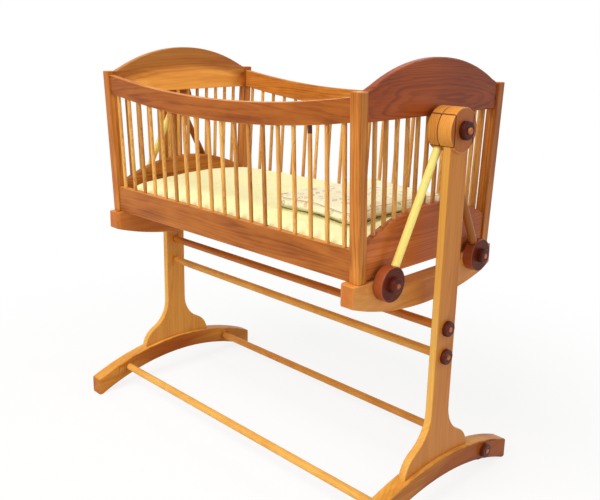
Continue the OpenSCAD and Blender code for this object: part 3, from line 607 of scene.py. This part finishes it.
# ---- Buttons, caps and their plugs --------------------------------------------------------------
# Dark turned buttons cover the screws that draw the stretchers up, and larger caps the pivots. Each
# is walnut, with a small pale plug glued in its middle.
walnut = wood_finish("walnut", (120, 54, 34), (94, 38, 26), (56, 22, 16), ring=0.0028, figure=0.6,
                     gloss=0.32, deep=(0.6, 0.55, 0.55), coat=0.02, shine=0.1)
plug_wood = wood_finish("plug wood", (224, 140, 86), (200, 106, 54), (152, 70, 34), ring=0.002)


def turned_walnut(node, seed, body, edge=0.0008, tones=(0.0, 0.4)):
    """Buttons or caps, turned with a small rounding; their screw holes stay sharp."""
    turned = eased(node, node + "_turned", edge, opening=0.012)
    lay_grain(turned, seed, tones, along=(0, 1, 0))
    fitted(turned, walnut, body, node)


def glued_plugs(node, seed, body):
    """Plugs with their end grain outwards and every rim rounded."""
    plugs = eased(node, node + "_glued", edge=0.0012, opening=0.0)
    lay_grain(plugs, seed, (0.0, 0.4), along=(0, 1, 0))
    fitted(plugs, plug_wood, body, node)


turned_walnut("upright_buttons", 51, "stand")
turned_walnut("foot_buttons", 52, "stand")
turned_walnut("pivot_caps", 53, "stand", edge=0.0015, tones=0.9)
for node, seed in (("upright_button_plugs", 54), ("foot_button_plugs", 55),
                   ("pivot_cap_plugs", 56)):
    glued_plugs(node, seed, "stand")

# ---- Cross beams --------------------------------------------------------------------------------
# Under each end of the cradle a thick golden beam with rounded ends carries the posts and takes the
# hangers' discs on its outer face. The far ends of both are darkened as painted shade, where the
# far disc and the upright shade them.
FAR_END = 0.2         # where the painted shade begins, along Y
beam_wood = wood_finish("timber of the beams", (246, 184, 98), (230, 156, 76), (190, 114, 54),
                        ring=0.006, figure=0.25, fibre=0.35, drift=0.7, deep=(0.62, 0.43, 0.29))
for side, seed, tone in (("left", 61, 0.7), ("right", 62, 0.1)):
    beam = eased("cross_beam_" + side, f"cross_beam_{side}_plank", edge=0.0025, opening=0.04)
    lay_grain(beam, seed, tone, heart=(0.0, 0.05))
    # The end faces are darker, for the heavier staining of end grain and partly as painted shade.
    stain_and_shade(beam, 0.8, Y)
    stain_and_shade(beam, 0.1)
    # Painted shade on the far ends, from the far disc and the upright.
    darken(beam, 0.7, lambda p: p.y > FAR_END)
    fitted(beam, beam_wood, "cradle", "cross_beam_" + side)

# ---- Posts --------------------------------------------------------------------------------------
# Four square cherry posts with eased edges stand on the beams and lean a little outwards. A screw
# from below holds each. The rims of their tops are darker, and their end grain is paler.
TOP_RIM = 0.01        # height of the darker rim
cherry = wood_finish("cherry", (228, 154, 71), (205, 129, 51), (152, 80, 29), ring=0.005,
                     figure=0.36, fibre=0.4, drift=0.95, deep=(0.49, 0.34, 0.18), coat=0.04,
                     patches=(7, 30, 30))
for place, seed, tone in (("front_left", 71, 0.1), ("front_right", 72, 0.0),
                          ("back_left", 73, 0.15), ("back_right", 74, 0.4)):
    post = eased("post_" + place, f"post_{place}_stick", edge=0.0022)
    lay_grain(post, seed, tone, heart=(0.05, 0.05))
    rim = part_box("post_" + place)[1].z - TOP_RIM
    stain_and_shade(post, 0.15, Y)
    darken(post, 0.5, lambda p: p.z > rim)
    stain_and_shade(post, -0.5, Z)
    fitted(post, cherry, "cradle", "post_" + place)

# ---- Side rails ---------------------------------------------------------------------------------
# Each long side has a dipped top rail and a deeper bottom rail of cherry, tenoned into the posts.
# Their ends meet the posts' faces, so the edges there stay sharp.
SHOULDER = 0.0015     # an edge this near to a post's face is part of the joint
side_reach = -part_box("post_front_left")[1].x
for side, seed, top_stain_and_shade in (("front", 81, 0.95), ("back", 82, 0.45)):
    for rail, amount, later in (("top", top_stain_and_shade, 0), ("bottom", 0.8, 2)):
        node = f"side_{rail}_rail_{side}"
        plank = eased(node, f"side_{side}_{rail}_rail", edge=0.0025,
                      share=lambda p: float(abs(p.x) < side_reach - SHOULDER))
        lay_grain(plank, seed + later, along=(1, 0, 0), heart=(0.0, 0.05))
        # Painted light: the faces are darkened and the tops left pale, so the tops look lit.
        stain_and_shade(plank, amount, Y)
        fitted(plank, cherry, "cradle", node)

# ---- End panels and end rails -------------------------------------------------------------------
# Each end has a wide arched panel at the top and an arched rail below, tenoned into the posts. The
# left panel is pale with a darker arch above. At the right-hand end both are of a redder cherry,
# the panel's also darker, which is painted shade; both grow darker towards the far side, painted
# shade from the upright and the disc.
LEVEL_STEP = 0.01     # how finely the pale panel is split in height
PANEL_ARCH_R = 0.486  # radius of a panel's arched top
pale_cherry = wood_finish("pale cherry", (255, 200, 104), (248, 170, 78), (206, 122, 52),
                          ring=0.006, figure=0.25, fibre=0.35, drift=1.0, deep=(0.42, 0.31, 0.25))
# The right panel's cherry, made darker as painted shade.
shaded_cherry = wood_finish("shaded cherry", (178, 88, 30), (154, 69, 22), (111, 44, 13), ring=0.004,
                          figure=0.5, fibre=0.4, drift=0.8)
red_cherry = wood_finish("red cherry", (238, 146, 76), (216, 122, 56), (168, 86, 38), ring=0.005,
                         figure=0.3, fibre=0.4, drift=0.9)


def darker_upper_part(p, low, high):
    """The darker part of the pale panel, which sets in from 46 to 60% of the way up its arch."""
    crest = high.z - PANEL_ARCH_R + math.sqrt(PANEL_ARCH_R ** 2 - p.y ** 2)
    return clamped(((p.z - low.z) / (crest - low.z) - 0.46) / 0.14)


for side, panel_wood, rail_wood, slot, seed in (
        ("left", pale_cherry, cherry, "cherry_wood", 91),
        ("right", shaded_cherry, red_cherry, "dark_cherry_wood", 92)):
    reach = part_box(f"post_back_{side}")[0].y
    for node, name, wood, later, bow, far_shade in (
            (f"end_panel_{side}", f"end_{side}_arched_panel", panel_wood, 0, 0.2, 0.4),
            (f"end_bottom_rail_{side}", f"end_{side}_arched_rail", rail_wood, 2, 0.05, 0.65)):
        low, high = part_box(node)
        two_tone = wood is pale_cherry
        board = eased(node, name, edge=0.0028,
                      share=lambda p: float(abs(p.y) < reach - SHOULDER),
                      cuts=[TONE_STEP * i for i in range(-6, 7)],
                      levels=np.arange(low.z + LEVEL_STEP, high.z, LEVEL_STEP) if two_tone else ())
        lay_grain(board, seed + later, along=(0, 1, 0), turned=0.1, bow=bow)
        if two_tone:
            darken(board, 0.9, lambda p: darker_upper_part(p, low, high))
        else:
            darken(board, 0.35, lambda p: p.z > (low.z + high.z) / 2)
        if side == "right":
            # Painted shade from the upright and the disc, darker towards the far side.
            darken(board, far_shade, lambda p: clamped(p.y / 0.1))
        fitted(board, wood, "cradle", node)

# ---- Spindles -----------------------------------------------------------------------------------
# Eighteen dowels stand between the rails of each side and twelve in each end, glued into blind
# holes. The sticks are pale or orange-brown as they come, and one in front has a dark knot.
KNOT_STICK = 15       # counted from the left, from 0
KNOT_UNDER_TOP = (0.012, 0.030)     # the front dowels have lengths short enough to show it
birch = wood_finish("spindle wood", (242, 194, 112), (226, 167, 86), (194, 126, 61), ring=0.003,
                    deep=(0.62, 0.5, 0.42))
knot = wood_finish("knot in a spindle", (150, 84, 46), (108, 58, 34), (64, 34, 22), gloss=0.5)
front_tones = [0.2, 0.3, 0.95, 0.1, 0.35, 1.0, 0.2, 0.05, 0.3, 0.1, 0.7, 0.75, 1.0, 0.2, 0.1, 0.3,
               0.15, 0.2]
for node, tones, lengths, seed in (("side_spindles_front", front_tones, 48, 101),
                                   ("side_spindles_back", (0.0, 0.9), 12, 102),
                                   ("end_spindles_left", (0.0, 0.9), 12, 103),
                                   ("end_spindles_right", (0.0, 0.9), 12, 104)):
    row = dowel_piece(node + "_row", birch, node, lengths=lengths)
    lay_grain(row, seed, tones, heart=(0.0, 0.012), lively=5.0)
    if tones is front_tones:
        co = places(row.data)
        stick = co[islands(row.data)[0] == KNOT_STICK]
        x, top = np.median(stick[:, X]), stick[:, Z].max()
        row.data.materials.append(knot)
        # The knot shows on the stick's outer side, towards the front and the right-hand end.
        for face in row.data.polygons:
            here = abs(face.center.x - x) < 0.02 and face.normal.x - face.normal.y > 0.3
            if here and KNOT_UNDER_TOP[0] < top - face.center.z < KNOT_UNDER_TOP[1]:
                face.material_index = 1
    joined(row, "cradle", node)

# ---- Hangers ------------------------------------------------------------------------------------
# At each end two slanting dowels run from a round hub, which swings on the pivot, down to the beam.
# The hub is a core block with a cheek glued to each side. One dowel of a pair is cream, one brown.
cream = wood_finish("hanger wood", (255, 250, 160), (255, 242, 138), (250, 214, 104), ring=0.003,
                    figure=0.3, fibre=0.4, deep=(0.36, 0.14, 0.08))
for side, seed in (("left", 111), ("right", 113)):
    round_block("hanger_hub_" + side, seed, "cradle")
    round_block("hub_cheeks_" + side, seed + 1, "cradle")
    node = "hanger_dowels_" + side
    pair = dowel_piece(f"hanger_{side}_dowels", cream, node, lengths=6, sides=28)
    lay_grain(pair, seed + 4, [0.0, 1.0], heart=(0.0, 0.015), lively=6.0)
    joined(pair, "cradle", node)

# ---- Discs --------------------------------------------------------------------------------------
# Four walnut discs sit on the beams' outer faces and take the hanger dowels' lower ends. Each has a
# raised button with a plug over its screw.
disc_wood = wood_finish("walnut of the discs", (196, 100, 54), (160, 72, 40), (96, 38, 24),
                        ring=0.0042, figure=1.1, gloss=0.3, deep=(0.34, 0.22, 0.20), coat=0.03,
                        shine=0.1)
disc_rim = wood_finish("walnut of the disc rims", (176, 92, 48), (158, 78, 40), (130, 60, 32),
                       ring=0.0042, figure=0.12, fibre=0.5, gloss=0.3, coat=0.1)
disc_faces = [abs(corner.x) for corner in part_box("hanger_discs_left")]
for side, seed in (("left", 121), ("right", 122)):
    discs = eased("hanger_discs_" + side, f"hanger_{side}_discs", edge=0.0035, opening=0.02)
    lay_grain(discs, seed, (0.05, 0.2), along=(1, 0, 0), flat=(0, 0, 1), heart=(0.0, 0.002),
              bow=0.0)
    darken(discs, 0.8, lambda p: min(abs(abs(p.x) - x) for x in disc_faces) < ON_FACE)
    fitted(discs, disc_wood, "cradle", "hanger_discs_" + side)
    discs.data.materials.append(disc_rim)
    for face in discs.data.polygons:
        face.material_index = int(abs(face.normal.x) < 0.9)
turned_walnut("disc_buttons", 123, "cradle", tones=(0.0, 0.5))
glued_plugs("disc_button_plugs", 124, "cradle")

# ---- Screws, bolts and nuts ---------------------------------------------------------------------
# All the hardware is zinc-plated steel, hidden under plugs, buttons and caps. It keeps its CAD
# shape and gets a plating that is a little spangled.


def refinish(node, material):
    """Gives a CAD node that stays in view its finish."""
    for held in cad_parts[node].material_slots:
        held.material = material
    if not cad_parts[node].material_slots:
        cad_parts[node].data.materials.append(material)


steel, tree = blank_material("zinc-plated steel")
at = put(tree, "ShaderNodeTexCoord").outputs["Object"]
spangle = put(tree, "ShaderNodeTexVoronoi", {"Vector": at, "Scale": 700}).outputs["Color"]
grime = noise(tree, at, scale=90, detail=5)["Fac"]
surface(tree, mixed(tree, grime, (0.62, 0.62, 0.60, 1), (0.40, 0.40, 0.39, 1)),
        ranged(tree, spangle, 0, 1, 0.26, 0.42), grime, bump=0.15, depth=0.0002, Metallic=1.0)
for node in ("stretcher_screws", "pivot_bolts", "pivot_nuts", "post_screws", "disc_screws",
             "cleat_screws"):
    refinish(node, steel)

# ---- Base board ---------------------------------------------------------------------------------
# A sheet of birch plywood, its plies bare at the edges, carries the mattress. It lies loose on two
# cleats that are screwed to the side rails' inner faces.
plywood, tree = blank_material("birch plywood")
at = put(tree, "ShaderNodeTexCoord").outputs["Object"]
grain = calc_3d(tree, "MULTIPLY", at, (3, 70, 1))
grain = noise(tree, grain, scale=1, detail=5, rough=0.55, twist=0.4)["Fac"]
plies = put(tree, "ShaderNodeTexWave", {"Vector": at, "Scale": 175}, bands_direction="Z")
normal = put(tree, "ShaderNodeNewGeometry").outputs["Normal"]
tilt = put(tree, "ShaderNodeSeparateXYZ", {0: normal}).outputs[Z]
on_face = calc(tree, "GREATER_THAN", calc(tree, "ABSOLUTE", tilt), 0.5)
face = mixed(tree, grain, colour(226, 190, 138), colour(196, 152, 100))
edge = mixed(tree, plies.outputs["Fac"], colour(206, 160, 108), colour(140, 94, 58))
surface(tree, mixed(tree, on_face, edge, face), 0.55, grain, bump=0.2, depth=0.0004)
refinish("base_board", plywood)
cleats = eased("base_cleats", "base_cleats_planed", edge=0.001)
lay_grain(cleats, 131, (0.1, 0.5))
fitted(cleats, birch, "cradle", "base_cleats")

# ---- Mattress -----------------------------------------------------------------------------------
# A slab of foam in a pale cream cotton cover printed with faint pastel shapes. The cover is stuffed
# by a cloth simulation and lies flat on the base board.
DRAWN_IN = 0.006      # how far inside its room a pad starts, on each side
MOST_SWELL = 0.012    # how far the stuffing may push a point
STUFFING_STEPS = 20
CROWN = 0.008         # how far the middle of the mattress stands up
pillow_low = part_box("pillow")[0]
pad_low, pad_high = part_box("mattress")


def cotton_finish(name, ground, inks, amount, size):
    """Woven cotton with a small scattered print, soft rings and dots in four pastel inks. amount is
    how strongly it shows, and size the space that one shape takes, in metres."""
    made, tree = blank_material(name)
    at = put(tree, "ShaderNodeTexCoord").outputs["Object"]
    shift = noise(tree, at, scale=70, detail=2)["Color"]
    shift = calc_3d(tree, "MULTIPLY", shift, (size * 0.5,) * 3)
    cells = put(tree, "ShaderNodeTexVoronoi", {"Vector": calc_3d(tree, "ADD", at, shift),
                                               "Scale": 1 / size, "Randomness": 0.8}).outputs
    ring = calc(tree, "ABSOLUTE", calc(tree, "SUBTRACT", cells["Distance"], 0.27))
    ring = ranged(tree, ring, 0.09, 0.03)
    dot = ranged(tree, cells["Distance"], 0.14, 0.09)
    pick = put(tree, "ShaderNodeSeparateColor", {0: cells["Color"]}).outputs
    ramp = put(tree, "ShaderNodeValToRGB", {0: pick[0]})
    ramp.color_ramp.interpolation = "CONSTANT"
    stops = ramp.color_ramp.elements
    stops[0].color = colour(*inks[0])
    stops[1].position, stops[1].color = 0.75, colour(*inks[3])
    stops.new(0.25).color = colour(*inks[1])
    stops.new(0.5).color = colour(*inks[2])
    kept = calc(tree, "MULTIPLY", calc(tree, "MAXIMUM", ring, dot),
                ranged(tree, pick[1], 0, 1, 0.3, 1.0))
    kept = calc(tree, "MULTIPLY", kept, amount)
    worn = noise(tree, at, scale=9, detail=3)["Fac"]
    cloth = mixed(tree, worn, colour(*ground[0]), colour(*ground[1]))
    warp, weft = (put(tree, "ShaderNodeTexWave", {"Vector": at, "Scale": 620, "Distortion": 0.5},
                      bands_direction=way).outputs["Fac"] for way in "XY")
    soft = noise(tree, at, scale=24, detail=4)["Fac"]
    height = calc(tree, "MULTIPLY_ADD", soft, 5.0, calc(tree, "MAXIMUM", warp, weft))
    surface(tree, mixed(tree, kept, cloth, ramp.outputs[0]), 0.85, height, bump=0.35,
            depth=0.0006, Sheen_Weight=0.2, Sheen_Roughness=0.5)
    return made


def stuffed(node, name, cell, swell, stiff, calming, crown):
    """A pad in the room of a CAD node. Its shape, drawn in a little, becomes a fine mesh that Cloth
    blows up. No point moves further than the most, or out of the CAD shape, but for the top, which
    crown(place) raises a little. Smoothing by calming takes the worst creases out."""
    bm = welded(node)
    limit = BVHTree.FromBMesh(bm)
    pad = into_scene(name, bpy.data.meshes.new(name))
    bm.to_mesh(pad.data)
    bm.free()
    low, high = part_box(node)
    middle, size = (low + high) / 2, high - low
    for v in pad.data.vertices:
        v.co = [m + (c - m) * (1 - 2 * DRAWN_IN / s) for c, m, s in zip(v.co, middle, size)]
    skin = pad.modifiers.new("skin", "REMESH")
    skin.mode, skin.voxel_size = "VOXEL", cell
    fine = plain_mesh(pad, name)
    pad.modifiers.remove(skin)
    pad.data = fine
    co = places(fine)
    cloth = pad.modifiers.new("stuffing", "CLOTH")
    cloth.settings.use_pressure = True
    cloth.settings.uniform_pressure_force = swell
    cloth.settings.quality = 5
    cloth.settings.tension_stiffness = cloth.settings.compression_stiffness = 15
    cloth.settings.shear_stiffness = 5
    cloth.settings.bending_stiffness = stiff
    cloth.settings.effector_weights.gravity = 0
    for step in range(STUFFING_STEPS):
        bpy.context.scene.frame_set(1 + step)
    held = pad.evaluated_get(bpy.context.evaluated_depsgraph_get())
    move = places(held.to_mesh()) - co
    held.to_mesh_clear()
    pad.modifiers.remove(cloth)
    bpy.context.scene.frame_set(1)
    far = np.maximum(np.linalg.norm(move, axis=1, keepdims=True), 1e-9)
    co += move * np.minimum(1, MOST_SWELL / far)
    for i in (Y, Z):
        short, far = co[:, i].min(), co[:, i].max()
        co[:, i] = low[i] + (co[:, i] - short) * (high[i] - low[i]) / (far - short)
    for i, point in enumerate(co):
        near, normal = limit.find_nearest(Vector(point))[:2]
        if (Vector(point) - near).dot(normal) > 0:
            co[i] = near
    top = co[:, Z] > (low.z + high.z) / 2
    co[top, Z] += [crown(p) * (p[Z] - low.z) / (high.z - low.z) for p in co[top]]
    fine.vertices.foreach_set("co", co.ravel())
    fine.update()
    calm = pad.modifiers.new("calm", "SMOOTH")
    calm.factor, calm.iterations = 0.5, calming
    smooth = pad.modifiers.new("smooth", "SUBSURF")
    smooth.levels = smooth.render_levels = 1
    pad.data = plain_mesh(pad, name)
    pad.modifiers.clear()
    smoothed(pad.data)
    return pad


def mattress_crown(p):
    """How far the free part of the top stands up. It fades out at the pillow and at the front."""
    aside = clamped((pillow_low.x + 0.02 - p[X]) / 0.10)
    back = clamped((p[Y] - pad_low.y) / (pad_high.y - pad_low.y) * 1.6)
    return CROWN * aside * back


mattress = stuffed("mattress", "mattress_cover", cell=0.009, swell=3.0, stiff=10.0, calming=14,
                   crown=mattress_crown)
fitted(mattress, cotton_finish("printed cotton of the mattress",
                               ground=((255, 254, 208), (255, 252, 174)),
                               inks=((250, 224, 186), (226, 236, 176), (252, 234, 160),
                                     (244, 212, 186)), amount=0.35, size=0.034),
       "cradle", "mattress")

# ---- Pillow -------------------------------------------------------------------------------------
# A small flat boxed pillow in the same cotton lies at the right-hand end. A dark piping is sewn in
# along the lower edge of its side band, and a paler one along the upper edge.
PIPING_POINTS = 160
pillow = stuffed("pillow", "pillow_cover", cell=0.006, swell=4.0, stiff=0.5, calming=6,
                 crown=lambda p: 0.0)
fitted(pillow, cotton_finish("printed cotton of the pillow",
                             ground=((255, 254, 226), (255, 250, 206)),
                             inks=((220, 146, 108), (158, 180, 118), (184, 128, 98),
                                   (190, 190, 204)), amount=0.85, size=0.02),
       "cradle", "pillow")


def piping(name, pad, height, thick, tint):
    """A thin round trim along the outline that a pad has at a height above its bottom edge. The
    outline is looked for at each point in turn, and the line through them is then evened out."""
    co = places(pad.data)
    middle = (co.min(0) + co.max(0)) / 2
    turn = np.arctan2(co[:, Y] - middle[Y], co[:, X] - middle[X])
    far = np.hypot(co[:, X] - middle[X], co[:, Y] - middle[Y])
    ring = []
    # The rim is the outer 20 mm of what lies near a direction. The trim follows the rim where that
    # is widest, within 6 mm of the given height.
    for a in np.linspace(-math.pi, math.pi, PIPING_POINTS, endpoint=False):
        near = np.abs((turn - a + math.pi) % (2 * math.pi) - math.pi) < 0.03
        edge = near & (far > far[near].max() - 0.02)
        bottom = co[edge, Z].min()
        band = edge & (np.abs(co[:, Z] - bottom - height) < 0.006)
        reach = far[band].max() if band.any() else far[edge].max() - 0.004
        ring.append((middle[X] + reach * math.cos(a), middle[Y] + reach * math.sin(a),
                     bottom + height))
    ring = np.array(ring)
    ring = (np.roll(ring, 1, 0) + 2 * ring + np.roll(ring, -1, 0)) / 4
    line = bpy.data.curves.new(name, "CURVE")
    line.dimensions = "3D"
    line.bevel_depth, line.bevel_resolution = thick / 2, 2
    path = line.splines.new("POLY")
    path.points.add(len(ring) - 1)
    for point, p in zip(path.points, ring):
        point.co = (*p, 1)
    path.use_cyclic_u = True
    cord = into_scene(name + "_line", line)
    mesh = plain_mesh(cord, name)
    bpy.data.objects.remove(cord)
    smoothed(mesh)
    trim = into_scene(name, mesh)
    made, tree = blank_material(name.replace("_", " "))
    at = put(tree, "ShaderNodeTexCoord").outputs["Object"]
    twist = put(tree, "ShaderNodeTexWave", {"Vector": at, "Scale": 160, "Distortion": 1.5},
                bands_direction="DIAGONAL").outputs["Fac"]
    surface(tree, mixed(tree, twist, colour(*tint[0]), colour(*tint[1])), 0.8, twist, bump=0.5,
            depth=0.0004)
    mesh.materials.append(made)
    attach(trim, "cradle")


piping("pillow_piping_low", pillow, height=0.004, thick=0.0026, tint=((64, 50, 34), (110, 92, 62)))
piping("pillow_piping_high", pillow, height=0.029, thick=0.002,
       tint=((190, 150, 122), (226, 200, 160)))
